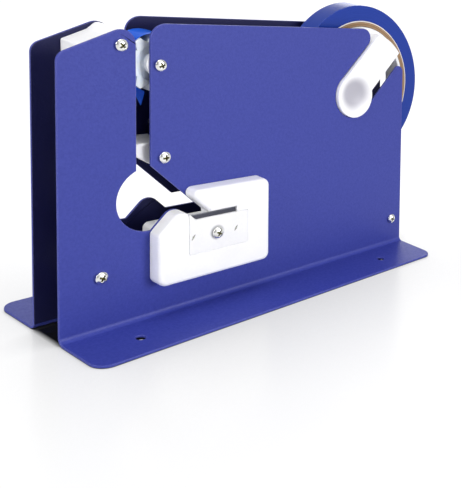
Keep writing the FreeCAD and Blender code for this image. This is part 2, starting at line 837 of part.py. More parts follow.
# Trimmer block on the front plate, its jaws in line with the eye and the throat
block = new_body("trimmer_block")
jaw_high = ramp_level - (jaw_end - slot_right) * ramp_slope
jaw_start = slot_right + (ramp_level - block_high) / ramp_slope
block_outline = [
    (block_left, block_low, block_corner),
    (block_right, block_low, block_corner),
    (block_right, block_high, block_corner),
    (jaw_start, block_high, jaw_round),
    (jaw_end, jaw_high, 0),
    (jaw_end, throat_level, 0),
    (throat_corner, throat_level, 0),
    (bump_across, bump_level, bump_round),
    (block_left, bump_level - (bump_across - block_left), jaw_round),
]
pad(block, "block_blank", "XZ_Plane", -block_face, -face, [block_outline])
doc.recompute()


def on_front(edge):
    box_of = edge.BoundBox
    flat = abs(box_of.YMin + block_face.value) < 1e-6 and box_of.YLength < 1e-6
    outer = (box_of.ZMax < block_low.value + block_corner.value + 0.01
             or box_of.XMin > block_right.value - block_corner.value - 0.01
             or box_of.XMax < block_left.value + block_corner.value + 0.01
             or box_of.ZMin > block_high.value - block_corner.value - 0.01)
    return flat and outer


names = []
for index, edge in enumerate(block.Tip.Shape.Edges):
    if on_front(edge):
        names.append("Edge%d" % (index + 1))
blank = block.Tip
rounded = block.newObject("PartDesign::Fillet", "block_rounding")
rounded.Base = (blank, names)
bind(rounded, "Radius", block_edge)
block.Tip = rounded
seat = -block_face + clamp_thick
clamp_seat = [
    (clamp_left, clamp_low, clamp_round),
    (clamp_right, clamp_low, clamp_round),
    (clamp_right, clamp_high, clamp_round),
    (window_right, clamp_high, 0),
    (window_right, window_high, 0),
    (clamp_left, window_high, 0),
]
pocket(block, "clamp_seat", -block_face - past, seat, [clamp_seat])
blade_seat = [
    (blade_left - clamp_clear, blade_low - clamp_clear, 0),
    (blade_right + clamp_clear, blade_low - clamp_clear, 0),
    (blade_right + clamp_clear, blade_shoulder, 0),
    (window_right, blade_shoulder, 0),
    (window_right, window_high, 0),
    (blade_left - clamp_clear, window_high, 0),
]
blade_back = seat + blade_thick
pocket(block, "blade_seat", seat - past, blade_back, [blade_seat])
pins = [
    (pin_across - pin_pitch / 2, clamp_screw_level, pin_radius),
    (pin_across + pin_pitch / 2, clamp_screw_level, pin_radius),
]
pocket(block, "insert_hole", blade_back - past, blade_back + insert_length, (),
       [(clamp_screw_across, clamp_screw_level, insert_radius)])
pocket(block, "pin_holes", blade_back - past, -block_face + pin_length, (), pins)
pilot_end = backing_thick - inner - trim_screw_length - tip_room
pocket(block, "pilot_holes", pilot_end, -face + past, (),
       [(across, level, shank_radius) for across, level in trim_holes])
finish(block, "trimmer_block")

# Steel trimmer blade, its edge up across the mouth of the jaws
blade = new_body("trimmer_blade")
blade_outline = [
    (blade_left, blade_low, 0),
    (blade_right, blade_low, 0),
    (blade_right, blade_shoulder, 0),
    (window_right - clamp_clear, blade_shoulder, 0),
    (window_right - clamp_clear, blade_high, 0),
    (blade_left + blade_bevel, blade_high, 0),
    (blade_left, blade_high - blade_bevel, 0),
]
pad(blade, "blade_blank", "XZ_Plane", seat, blade_back, [blade_outline],
    pins + [(clamp_screw_across, clamp_screw_level, hole_radius)])
finish(blade, "trimmer_blade")

clamp = new_body("blade_clamp")
clamp_outline = [
    (clamp_left + clamp_clear, clamp_low + clamp_clear, clamp_round),
    (clamp_right - clamp_clear, clamp_low + clamp_clear, clamp_round),
    (clamp_right - clamp_clear, clamp_high - clamp_clear, clamp_round),
    (throat_corner - (clamp_high - clamp_clear - throat_level), clamp_high - clamp_clear, 0),
    (throat_corner - (window_high - clamp_clear - throat_level), window_high - clamp_clear, 0),
    (clamp_left + clamp_clear, window_high - clamp_clear, 0),
]
pad(clamp, "clamp_blank", "XZ_Plane", -block_face, seat, [clamp_outline],
    pins + [(clamp_screw_across, clamp_screw_level, hole_radius)])
finish(clamp, "blade_clamp")

finish(pan_screw("clamp_screw", clamp_screw_across, clamp_screw_level, -block_face,
                 clamp_screw_length, 1), "clamp_screw")
finish(group("clamp_pins", [
    rod("pin_%d" % index, radius, across, level, -block_face, -block_face + pin_length)
    for index, (across, level, radius) in enumerate(pins)
]), "clamp_pins")
finish(ring("clamp_insert", insert_radius, shank_radius, clamp_screw_across, clamp_screw_level,
            blade_back, blade_back + insert_length), "clamp_insert")

# Backing piece behind the front plate and the two screws that hold the block to it
backing = new_body("trimmer_backing")
backing_outline = [
    (backing_left, backing_low, backing_round),
    (backing_right, backing_low, backing_round),
    (backing_right, backing_high, backing_round),
    (backing_left, backing_high, backing_round),
]
pad(backing, "backing_blank", "XZ_Plane", -inner, backing_thick - inner, [backing_outline],
    [(across, level, hole_radius) for across, level in trim_holes])
finish(backing, "trimmer_backing")
finish(group("trimmer_screws", [
    pan_screw("trimmer_screw_%d" % index, across, level, backing_thick - inner,
              trim_screw_length, -1)
    for index, (across, level) in enumerate(trim_holes)
]), "trimmer_screws")

doc.recompute()
broken = [thing.Name for thing in doc.Objects
          if "Invalid" in thing.State or "Error" in thing.State]
if broken:
    raise RuntimeError("features failed: " + ", ".join(broken))
for node in nodes:
    if node.Shape.isNull() or not node.Shape.isValid():
        raise RuntimeError(node.Label + " has no valid shape")
    if not node.Shape.Solids:
        raise RuntimeError(node.Label + " has no solid")
os.makedirs("parts", exist_ok=True)
for node in nodes:
    node.Shape.exportStep("parts/%s.step" % node.Label)
    box_of = node.Shape.BoundBox
    print("%-18s solids %d  volume %9.1f  x %7.1f %7.1f  y %6.1f %6.1f  z %6.1f %6.1f" % (
        node.Label, len(node.Shape.Solids), node.Shape.Volume, box_of.XMin, box_of.XMax,
        box_of.YMin, box_of.YMax, box_of.ZMin, box_of.ZMax))
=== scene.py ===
import math

import bmesh
import bpy
import numpy as np
from mathutils import Matrix, Vector


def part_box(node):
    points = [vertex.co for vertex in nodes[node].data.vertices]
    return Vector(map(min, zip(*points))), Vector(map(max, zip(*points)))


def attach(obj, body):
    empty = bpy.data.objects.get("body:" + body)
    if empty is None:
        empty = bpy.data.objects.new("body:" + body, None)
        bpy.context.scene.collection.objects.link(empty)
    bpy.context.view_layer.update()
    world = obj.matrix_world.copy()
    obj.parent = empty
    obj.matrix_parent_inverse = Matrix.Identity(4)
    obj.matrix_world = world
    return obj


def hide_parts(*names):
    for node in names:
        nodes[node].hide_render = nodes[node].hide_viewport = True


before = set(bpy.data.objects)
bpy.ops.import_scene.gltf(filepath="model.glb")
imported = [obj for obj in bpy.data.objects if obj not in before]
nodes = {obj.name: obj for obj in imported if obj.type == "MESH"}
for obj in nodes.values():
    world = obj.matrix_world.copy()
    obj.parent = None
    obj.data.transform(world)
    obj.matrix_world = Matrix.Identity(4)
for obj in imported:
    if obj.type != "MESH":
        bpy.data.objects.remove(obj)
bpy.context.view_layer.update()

# Bag neck sealer in metres: +X from the bag slot to the tape reel, +Y away from the user, +Z up.
# The roll, core, led tape, rings, fasteners and spring are worked out here as grids of points.
# The plates, mouldings, blade and knife are the CAD shapes with their edges rounded. Every
# material of the sealer is made of shader nodes on Object coordinates.

MM = 0.001
TURN = 2 * math.pi

# Sizes that the boxes of the CAD nodes don't give
PLATE = 1.2 * MM                  # sheet of the two plates
GAP_SHADE_DEPTH = 9.4 * MM               # depth within which a face looks into the gap between them and takes painted shade
HEAD = 3.0 * MM                   # screws: head radius, head height, thread radius and pitch
HEAD_HEIGHT = 2.2 * MM
SHANK = 1.5 * MM
THREAD_PITCH = 0.5 * MM
SCREW_BORE = 1.7 * MM             # bore of washers and sleeves
COLLAR_BORE = 3.5 * MM
CORE_WALL = 3.7 * MM
LEVER_AXLE = 82.5 * MM            # levels of the lever's axle and of its head's shoulder
LEVER_SHOULDER = 88.3 * MM
WHEEL_REACH = 14.6 * MM           # radius to the tips of the star wheel's teeth
TAPE = 0.2 * MM                   # tape, and the air it keeps from the roll and the wheel
TAPE_AIR = 0.3 * MM
BASE_MIDDLE = 3.5 * MM            # place of the base's middle and of the anchor holes
HOLE_ACROSS = 79 * MM
HOLE_DEPTH = 26 * MM
FLOOR_DROP = 0.2 * MM             # the table's depth below the flanges
GRIND_BLADE = 0.4 * MM            # height of the ground edge of the blade and of the knife
GRIND_KNIFE = 2.6 * MM

# Half sizes of the rectangles of painted shadow on the table: under the flanges, and under the gap
# between the plates
SHADOW_UNDER_BASE = (101 * MM, 33 * MM)
SHADOW_UNDER_GAP = (111 * MM, 10.5 * MM)

# Levels between which the blade and the knife show freshly ground steel
GROUND = ((51.95 * MM, 52.5 * MM), (95.4 * MM, 99 * MM))

# Middle of the painted shade in the dish of the arbor's front boss
DISH_SHADE_CENTRE = Vector((69.7, 0, 108.1)) * MM


# ---------------------------------------------------------------- places taken from the frame

def middle(node):
    low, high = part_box(node)
    return (low + high) / 2


def half_size(node):
    low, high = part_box(node)
    return (high - low) / 2


def islands(node):
    """Lowest and highest corner of each separate solid in a CAD node, from left to right.

    Two at the same place are listed from front to rear.
    """
    work = bmesh.new()
    work.from_mesh(nodes[node].data)
    bmesh.ops.remove_doubles(work, verts=work.verts, dist=1e-6)
    left = set(work.verts)
    boxes = []
    while left:
        stack = [left.pop()]
        corners = []
        while stack:
            vert = stack.pop()
            corners.append(vert.co.copy())
            for edge in vert.link_edges:
                other = edge.other_vert(vert)
                if other in left:
                    left.remove(other)
                    stack.append(other)
        places = np.array(corners)
        boxes.append((Vector(places.min(0)), Vector(places.max(0))))
    work.free()
    return sorted(boxes, key=lambda pair: (pair[0].x, pair[0].y))


reel = middle("tape_roll")


# ---------------------------------------------------------------- mesh helpers

def add_object(name, mesh, body, node):
    thing = bpy.data.objects.new(name, mesh)
    bpy.context.scene.collection.objects.link(thing)
    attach(thing, body)
    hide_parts(node)
    return thing


def grid_faces(rows, columns, start, close_rows, close_columns):
    """Quads of a grid whose point [i, j] has the number start + i * columns + j."""
    i = np.arange(rows if close_rows else rows - 1)
    j = np.arange(columns if close_columns else columns - 1)
    i, j = np.meshgrid(i, j, indexing="ij")
    after_i = (i + 1) % rows
    after_j = (j + 1) % columns
    quads = np.stack([i * columns + j, after_i * columns + j,
                      after_i * columns + after_j, i * columns + after_j], axis=-1)
    return quads.reshape(-1, 4) + start


def mesh_of(name, grids, smooth_angle=35, recess=None):
    """One mesh of closed grids. Each grid is turned so that the volume it encloses is positive.

    recess holds one value per point of each grid, kept as an attribute for the materials.
    """
    points = []
    faces = []
    count = 0
    for grid, close_rows, close_columns in grids:
        rows, columns = grid.shape[:2]
        quads = grid_faces(rows, columns, 0, close_rows, close_columns)
        flat = grid.reshape(-1, 3)
        centre = flat.mean(0)
        a, b, c, d = (flat[quads[:, k]] - centre for k in range(4))
        volume = (np.einsum("ij,ij->i", a, np.cross(b, c))
                  + np.einsum("ij,ij->i", a, np.cross(c, d))).sum()
        if volume < 0:
            quads = quads[:, ::-1]
        points.append(flat)
        faces.append(quads + count)
        count += len(flat)
    mesh = bpy.data.meshes.new(name)
    mesh.from_pydata(np.concatenate(points).tolist(), [], np.concatenate(faces).tolist())
    if recess:
        attribute = mesh.attributes.new("recess", "FLOAT", "POINT")
        attribute.data.foreach_set("value", np.concatenate([r.reshape(-1) for r in recess]))
    work = bmesh.new()
    work.from_mesh(mesh)
    bmesh.ops.remove_doubles(work, verts=work.verts, dist=1e-7)
    bmesh.ops.dissolve_degenerate(work, dist=1e-8, edges=work.edges)
    work.to_mesh(mesh)
    work.free()
    mesh.shade_smooth()
    mesh.set_sharp_from_angle(angle=math.radians(smooth_angle))
    return mesh


def rounded(corners, radius):
    """Closed outline with each corner replaced by an arc and a support point on either side."""
    corners = np.array(corners, float)
    outline = []
    for k, corner in enumerate(corners):
        back = corners[k - 1] - corner
        ahead = corners[(k + 1) % len(corners)] - corner
        back /= np.linalg.norm(back)
        ahead /= np.linalg.norm(ahead)
        half = math.acos(np.clip(back @ ahead, -1, 1)) / 2
        reach = radius / math.tan(half)
        centre = corner + (back + ahead) / np.linalg.norm(back + ahead) * radius / math.sin(half)
        start = corner + back * reach - centre
        stop = corner + ahead * reach - centre
        share = np.linspace(0, 1, 5)[:, None]
        arc = start * (1 - share) + stop * share
        arc *= radius / np.linalg.norm(arc, axis=1, keepdims=True)
        outline.append((corner + back * reach * 1.3)[None, :])
        outline.append(centre + arc)
        outline.append((corner + ahead * reach * 1.3)[None, :])
    return np.concatenate(outline)


def swept_round(profile, centre, steps):
    """Profile points (radius, depth) carried round a line along Y through centre.

    x = centre + radius cos(angle), z = centre + radius sin(angle), y = centre + depth
    """
    angle = np.linspace(0, TURN, steps, endpoint=False)[:, None]
    radius = profile[None, :, 0] + 0 * angle
    depth = profile[None, :, 1] + 0 * angle
    return np.stack([centre.x + radius * np.cos(angle), centre.y + depth,
                     centre.z + radius * np.sin(angle)], axis=-1)


def ring_grid(inner, outer, near, far, centre, edge, steps):
    """Ring along Y with its four edges rounded."""
    profile = rounded([(inner, near), (outer, near), (outer, far), (inner, far)], edge)
    return swept_round(profile, centre, steps), True, True


def softened(node, body, width, segments=2, shape=None):
    """Copy of a CAD node with its sharp edges rounded off by a bevel of this width.

    shape is a function that moves points of the copy first.
    """
    mesh = nodes[node].data.copy()
    mesh.name = node + "_finished"
    work = bmesh.new()
    work.from_mesh(mesh)
    bmesh.ops.remove_doubles(work, verts=work.verts, dist=2e-6)
    bmesh.ops.dissolve_limit(work, angle_limit=math.radians(0.4), verts=work.verts,
                             edges=work.edges)
    if shape:
        shape(work)
    work.to_mesh(mesh)
    work.free()
    mesh.shade_smooth()
    thing = add_object(node + "_finished", mesh, body, node)
    bevel = thing.modifiers.new("rounded_edges", "BEVEL")
    bevel.width = width
    bevel.segments = segments
    bevel.limit_method = "ANGLE"
    bevel.angle_limit = math.radians(38)
    bevel.use_clamp_overlap = False
    flat = thing.modifiers.new("flat_faces", "WEIGHTED_NORMAL")
    flat.keep_sharp = True
    flat.weight = 80
    return thing


def grind(work, start, end, axis, kept, share):
    """Taper a thin plate towards its edge.

    From the level start to the level end, the distance from the face at kept on the given axis
    is multiplied by 1 - share * (z - start) / (end - start).
    """
    every = work.verts[:] + work.edges[:] + work.faces[:]
    bmesh.ops.bisect_plane(work, geom=every, dist=1e-7, plane_co=(0, 0, start),
                           plane_no=(0, 0, 1))
    for vert in work.verts:
        rise = max(0.0, (vert.co.z - start) / (end - start))
        vert.co[axis] = kept + (vert.co[axis] - kept) * (1 - share * rise)


def lower_head(work, shoulder, share):
    """Flatten the lever's head: its height above the shoulder is multiplied by share."""
    for vert in work.verts:
        if vert.co.z > shoulder:
            vert.co.z = shoulder + (vert.co.z - shoulder) * share


# ---------------------------------------------------------------- shader helpers

def new_material(name):
    material = bpy.data.materials.new(name)
    material.use_nodes = True
    tree = material.node_tree
    tree.nodes.clear()
    out = tree.nodes.new("ShaderNodeOutputMaterial")
    shader = tree.nodes.new("ShaderNodeBsdfPrincipled")
    tree.links.new(shader.outputs[0], out.inputs["Surface"])
    return material, tree, shader


def node(tree, kind, **settings):
    made = tree.nodes.new(kind)
    for name, value in settings.items():
        setattr(made, name, value)
    return made


def math_node(tree, operation, first, second=None, clamp=False):
    made = node(tree, "ShaderNodeMath", operation=operation, use_clamp=clamp)
    for socket, value in zip(made.inputs, (first, second)):
        if value is None:
            continue
        if isinstance(value, (int, float)):
            socket.default_value = value
        else:
            tree.links.new(value, socket)
    return made.outputs[0]


def mix_colour(tree, factor, first, second):
    made = node(tree, "ShaderNodeMix", data_type="RGBA")
    for socket, value in zip((made.inputs[0], made.inputs[6], made.inputs[7]),
                             (factor, first, second)):
        if isinstance(value, (tuple, int, float)):
            socket.default_value = value
        else:
            tree.links.new(value, socket)
    return made.outputs[2]


def ramp(tree, value, low, high, from_low=0.0, from_high=1.0):
    made = node(tree, "ShaderNodeMapRange")
    tree.links.new(value, made.inputs["Value"])
    made.inputs["From Min"].default_value = from_low
    made.inputs["From Max"].default_value = from_high
    made.inputs["To Min"].default_value = low
    made.inputs["To Max"].default_value = high
    return made.outputs[0]


def new_group(name, inputs, outputs):
    group = bpy.data.node_groups.new(name, "ShaderNodeTree")
    for label, kind, value in inputs:
        socket = group.interface.new_socket(label, in_out="INPUT", socket_type=kind)
        if value is not None:
            socket.default_value = value
    for label, kind in outputs:
        group.interface.new_socket(label, in_out="OUTPUT", socket_type=kind)
    return group, group.nodes.new("NodeGroupInput"), group.nodes.new("NodeGroupOutput")


def use_group(tree, group, **values):
    made = node(tree, "ShaderNodeGroup", node_tree=group)
    for label, value in values.items():
        socket = made.inputs[label.replace("_", " ")]
        if isinstance(value, (int, float, tuple)):
            socket.default_value = value
        else:
            tree.links.new(value, socket)
    return made


def object_place(tree, offset=(0, 0, 0), scale=(1, 1, 1)):
    place = node(tree, "ShaderNodeTexCoord")
    mapping = node(tree, "ShaderNodeMapping", vector_type="POINT")
    tree.links.new(place.outputs["Object"], mapping.inputs["Vector"])
    mapping.inputs["Location"].default_value = offset
    mapping.inputs["Scale"].default_value = scale
    return mapping.outputs[0]


def make_edge_group():
    """Mask of 1 on the edges, where a rounded normal leaves the true one: partly rubbed or thinly
    coated edges, partly a painted highlight.
    """
    group, start, end = new_group(
        "rubbed_and_highlit_edges",
        [("Vector", "NodeSocketVector", None), ("Radius", "NodeSocketFloat", 0.0005),
         ("Patchiness", "NodeSocketFloat", 0.5)],
        [("Mask", "NodeSocketFloat")])
    bevel = node(group, "ShaderNodeBevel", samples=6)
    group.links.new(start.outputs["Radius"], bevel.inputs["Radius"])
    geometry = node(group, "ShaderNodeNewGeometry")
    dot = node(group, "ShaderNodeVectorMath", operation="DOT_PRODUCT")
    group.links.new(bevel.outputs[0], dot.inputs[0])
    group.links.new(geometry.outputs["Normal"], dot.inputs[1])
    edge = ramp(group, dot.outputs["Value"], 1.0, 0.0, 0.78, 0.995)
    noise = node(group, "ShaderNodeTexNoise")
    noise.inputs["Scale"].default_value = 260
    noise.inputs["Detail"].default_value = 4
    group.links.new(start.outputs["Vector"], noise.inputs["Vector"])
    patch = ramp(group, noise.outputs["Fac"], 0.0, 1.0, 0.35, 0.6)
    kept = math_node(group, "MULTIPLY", math_node(group, "SUBTRACT", 1.0, patch),
                     start.outputs["Patchiness"])
    mask = math_node(group, "MULTIPLY", edge, math_node(group, "SUBTRACT", 1.0, kept),
                     clamp=True)
    group.links.new(mask, end.inputs["Mask"])
    return group


def make_grain_group():
    """Grain at two sizes: a height for bump and a value that varies colour and gloss."""
    group, start, end = new_group(
        "grain",
        [("Vector", "NodeSocketVector", None), ("Scale", "NodeSocketFloat", 900.0),
         ("Broad", "NodeSocketFloat", 60.0)],
        [("Height", "NodeSocketFloat"), ("Variation", "NodeSocketFloat")])
    fine = node(group, "ShaderNodeTexNoise")
    broad = node(group, "ShaderNodeTexNoise")
    pits = node(group, "ShaderNodeTexVoronoi", feature="SMOOTH_F1")
    for texture, label in ((fine, "Scale"), (broad, "Broad"), (pits, "Scale")):
        group.links.new(start.outputs["Vector"], texture.inputs["Vector"])
        group.links.new(start.outputs[label], texture.inputs["Scale"])
    fine.inputs["Detail"].default_value = 3
    broad.inputs["Detail"].default_value = 5
    height = math_node(group, "ADD", fine.outputs["Fac"],
                       math_node(group, "MULTIPLY", pits.outputs["Distance"], 0.6))
    group.links.new(height, end.inputs["Height"])
    mixed = math_node(group, "ADD", math_node(group, "MULTIPLY", broad.outputs["Fac"], 0.7),
                      math_node(group, "MULTIPLY", fine.outputs["Fac"], 0.3))
    group.links.new(mixed, end.inputs["Variation"])
    return group


def make_radius_group():
    """Distance from a line along Y through the point whose place the Vector is measured from."""
    group, start, end = new_group("distance_from_axis", [("Vector", "NodeSocketVector", None)],
                                  [("Radius", "NodeSocketFloat"), ("Angle", "NodeSocketFloat")])
    parts = node(group, "ShaderNodeSeparateXYZ")
    group.links.new(start.outputs["Vector"], parts.inputs[0])
    squares = [math_node(group, "MULTIPLY", parts.outputs[k], parts.outputs[k]) for k in (0, 2)]
    radius = math_node(group, "SQRT", math_node(group, "ADD", squares[0], squares[1]))
    group.links.new(radius, end.inputs["Radius"])
    group.links.new(math_node(group, "ARCTAN2", parts.outputs[2], parts.outputs[0]),
                    end.inputs["Angle"])
    return group


edge_group = make_edge_group()
grain_group = make_grain_group()
radius_group = make_radius_group()


def add_bump(tree, shader, height, strength, distance):
    bump = node(tree, "ShaderNodeBump")
    bump.inputs["Strength"].default_value = strength
    bump.inputs["Distance"].default_value = distance
    tree.links.new(height, bump.inputs["Height"])
    tree.links.new(bump.outputs[0], shader.inputs["Normal"])
    return bump


# ---------------------------------------------------------------- materials

def powder_coat():
    """Blue powder coat: fine orange-peel grain, slight mottling, paler edges, partly rubbed coat
    and partly painted highlight.

    The faces that look into the gap between the plates take a painted shade, a nearly black navy.
    """
    material, tree, shader = new_material("blue_powder_coat")
    place = object_place(tree)
    grain = use_group(tree, grain_group, Vector=place, Scale=1300.0, Broad=650.0)
    colour = mix_colour(tree, ramp(tree, grain.outputs["Variation"], 0, 1, 0.36, 0.64),
                        (0.031, 0.043, 0.283, 1), (0.038, 0.052, 0.320, 1))
    # Painted shade: faces that look into the gap between the plates take a nearly black navy
    # instead of the coat's blue.
    parts = node(tree, "ShaderNodeSeparateXYZ")
    tree.links.new(place, parts.inputs[0])
    depth = math_node(tree, "ABSOLUTE", parts.outputs["Y"])
    inside = math_node(tree, "LESS_THAN", depth, GAP_SHADE_DEPTH)
    colour = mix_colour(tree, inside, colour, (0.009, 0.010, 0.070, 1))
    # Paler edges: partly rubbed coat, partly a painted highlight along every edge.
    edge = use_group(tree, edge_group, Vector=place, Radius=0.0006, Patchiness=0.3)
    edged = mix_colour(tree, math_node(tree, "MULTIPLY", edge.outputs["Mask"], 0.75), colour,
                       (0.34, 0.34, 0.62, 1))
    tree.links.new(edged, shader.inputs["Base Color"])
    tree.links.new(ramp(tree, grain.outputs["Variation"], 0.53, 0.44, 0.35, 0.65),
                   shader.inputs["Roughness"])
    shader.inputs["Specular IOR Level"].default_value = 0.3
    add_bump(tree, shader, grain.outputs["Height"], 0.4, 0.00008)
    return material


def slanted_mark(tree, centre, slope, half_length, half_width):
    """1 inside a narrow slanted mark on a face square to Y, seen from the front."""
    place = node(tree, "ShaderNodeTexCoord")
    shift = node(tree, "ShaderNodeVectorMath", operation="SUBTRACT")
    tree.links.new(place.outputs["Object"], shift.inputs[0])
    shift.inputs[1].default_value = centre
    sides = []
    for angle, half in ((slope, half_length), (slope + math.pi / 2, half_width)):
        dot = node(tree, "ShaderNodeVectorMath", operation="DOT_PRODUCT")
        tree.links.new(shift.outputs[0], dot.inputs[0])
        dot.inputs[1].default_value = (math.cos(angle), 0, math.sin(angle))
        far = math_node(tree, "ABSOLUTE", dot.outputs["Value"])
        sides.append(ramp(tree, far, 1.0, 0.0, 0.7 * half, 1.3 * half))
    return math_node(tree, "MULTIPLY", *sides)


def white_plastic(name="white_plastic", white=1.0, place_of=None, levels=(0, 1),
                  tint=(0.5, 0.5, 0.5, 1), marks=()):
    """Satin moulded plastic, very slightly mottled; white scales how pale it is.

    Round the line along Y through place_of it takes the tint, a painted shade, which fades out
    between the two radii in levels. marks are the centres of short slanted slots painted dark, a
    painted shade.
    """
    material, tree, shader = new_material(name)
    place = object_place(tree)
    grain = use_group(tree, grain_group, Vector=place, Scale=700.0, Broad=45.0)
    colour = mix_colour(tree, ramp(tree, grain.outputs["Variation"], 0, 1, 0.4, 0.6),
                        (0.915 * white, 0.91 * white, 0.93 * white, 1),
                        (0.95 * white, 0.95 * white, 0.965 * white, 1))
    # Painted shade: round place_of the colour goes over to the tint.
    if place_of:
        polar = use_group(tree, radius_group, Vector=object_place(
            tree, offset=(-place_of.x, -place_of.y, -place_of.z)))
        shade_share = node(tree, "ShaderNodeMapRange", interpolation_type="SMOOTHSTEP")
        tree.links.new(polar.outputs["Radius"], shade_share.inputs["Value"])
        shade_share.inputs["From Min"].default_value = levels[0]
        shade_share.inputs["From Max"].default_value = levels[1]
        shade_share.inputs["To Min"].default_value = 1.0
        shade_share.inputs["To Max"].default_value = 0.0
        colour = mix_colour(tree, shade_share.outputs[0], colour, tint)
    # Painted shade: short slanted slots painted dark.
    for centre in marks:
        mark = slanted_mark(tree, centre, math.radians(57), 1.5 * MM, 0.3 * MM)
        colour = mix_colour(tree, mark, colour, (0.20, 0.20, 0.15, 1))
    tree.links.new(colour, shader.inputs["Base Color"])
    tree.links.new(ramp(tree, grain.outputs["Variation"], 0.42, 0.34, 0.35, 0.65),
                   shader.inputs["Roughness"])
    shader.inputs["Subsurface Weight"].default_value = 0.12
    shader.inputs["Subsurface Radius"].default_value = (0.004, 0.004, 0.005)
    shader.inputs["Subsurface Scale"].default_value = 0.4
    add_bump(tree, shader, grain.outputs["Height"], 0.12, 0.00005)
    return material


def clear_plastic():
    """Milky translucent plastic of the tape wheel."""
    material, tree, shader = new_material("clear_plastic")
    place = object_place(tree)
    grain = use_group(tree, grain_group, Vector=place, Scale=500.0, Broad=120.0)
    colour = mix_colour(tree, ramp(tree, grain.outputs["Variation"], 0, 1, 0.38, 0.62),
                        (0.76, 0.84, 0.98, 1), (0.88, 0.93, 1.0, 1))
    tree.links.new(colour, shader.inputs["Base Color"])
    shader.inputs["Roughness"].default_value = 0.22
    shader.inputs["Transmission Weight"].default_value = 0.05
    shader.inputs["Subsurface Weight"].default_value = 0.3
    shader.inputs["Subsurface Radius"].default_value = (0.005, 0.005, 0.007)
    shader.inputs["Subsurface Scale"].default_value = 0.6
    shader.inputs["IOR"].default_value = 1.49
    add_bump(tree, shader, grain.outputs["Height"], 0.15, 0.00006)
    return material


def metal(name, colour, roughness, streaks, strength, ground=()):
    """Metal with fine brush marks stretched along one direction.

    ground lists the levels (from, to) between which the metal is freshly ground and bright.
    """
    material, tree, shader = new_material(name)
    place = object_place(tree, scale=streaks)
    grain = use_group(tree, grain_group, Vector=place, Scale=1200.0, Broad=200.0)
    dark = tuple(0.72 * c for c in colour[:3]) + (1,)
    mixed = mix_colour(tree, ramp(tree, grain.outputs["Variation"], 0, 1, 0.35, 0.65), dark,
                       colour)
    if ground:
        parts = node(tree, "ShaderNodeSeparateXYZ")
        tree.links.new(object_place(tree), parts.inputs[0])
        for low, high in ground:
            above = math_node(tree, "GREATER_THAN", parts.outputs["Z"], low)
            below = math_node(tree, "LESS_THAN", parts.outputs["Z"], high)
            mixed = mix_colour(tree, math_node(tree, "MULTIPLY", above, below), mixed,
                               (0.22, 0.23, 0.26, 1))
    tree.links.new(mixed, shader.inputs["Base Color"])
    shader.inputs["Metallic"].default_value = 1.0
    tree.links.new(ramp(tree, grain.outputs["Variation"], roughness + 0.08, roughness - 0.06,
                        0.35, 0.65), shader.inputs["Roughness"])
    add_bump(tree, shader, grain.outputs["Height"], strength, 0.00003)
    return material


def screw_steel():
    """Bright zinc, with a painted dark olive shade where the recess attribute says so."""
    material, tree, shader = new_material("zinc_steel")
    place = object_place(tree)
    grain = use_group(tree, grain_group, Vector=place, Scale=1400.0, Broad=300.0)
    bright = mix_colour(tree, ramp(tree, grain.outputs["Variation"], 0, 1, 0.35, 0.65),
                        (0.74, 0.74, 0.71, 1), (0.95, 0.95, 0.93, 1))
    recess = node(tree, "ShaderNodeAttribute", attribute_name="recess")
    # Painted shade: the recesses take a dark olive.
    mixed = mix_colour(tree, recess.outputs["Fac"], bright, (0.16, 0.15, 0.06, 1))
    tree.links.new(mixed, shader.inputs["Base Color"])
    shader.inputs["Metallic"].default_value = 1.0
    rough = ramp(tree, recess.outputs["Fac"], 0.20, 0.55)
    tree.links.new(rough, shader.inputs["Roughness"])
    add_bump(tree, shader, grain.outputs["Height"], 0.1, 0.00003)
    return material


def tape_film(name, centre, deep, bright, gloss):
    """Glossy tape. On the roll's ends the wound layers show as fine rings."""
    material, tree, shader = new_material(name)
    place = object_place(tree, offset=(-centre.x, -centre.y, -centre.z))
    polar = use_group(tree, radius_group, Vector=place)
    grain = use_group(tree, grain_group, Vector=place, Scale=300.0, Broad=25.0)
    layers = node(tree, "ShaderNodeTexNoise", noise_dimensions="1D")
    layers.inputs["Scale"].default_value = 2600
    layers.inputs["Detail"].default_value = 2
    tree.links.new(polar.outputs["Radius"], layers.inputs["W"])
    rings = ramp(tree, layers.outputs["Fac"], 0, 1, 0.3, 0.7)
    colour = mix_colour(tree, rings, deep, bright)
    tree.links.new(colour, shader.inputs["Base Color"])
    tree.links.new(ramp(tree, grain.outputs["Variation"], 0.28, 0.20, 0.35, 0.65),
                   shader.inputs["Roughness"])
    shader.inputs["Specular IOR Level"].default_value = gloss
    add_bump(tree, shader, layers.outputs["Fac"], 0.25, 0.00005)
    return material


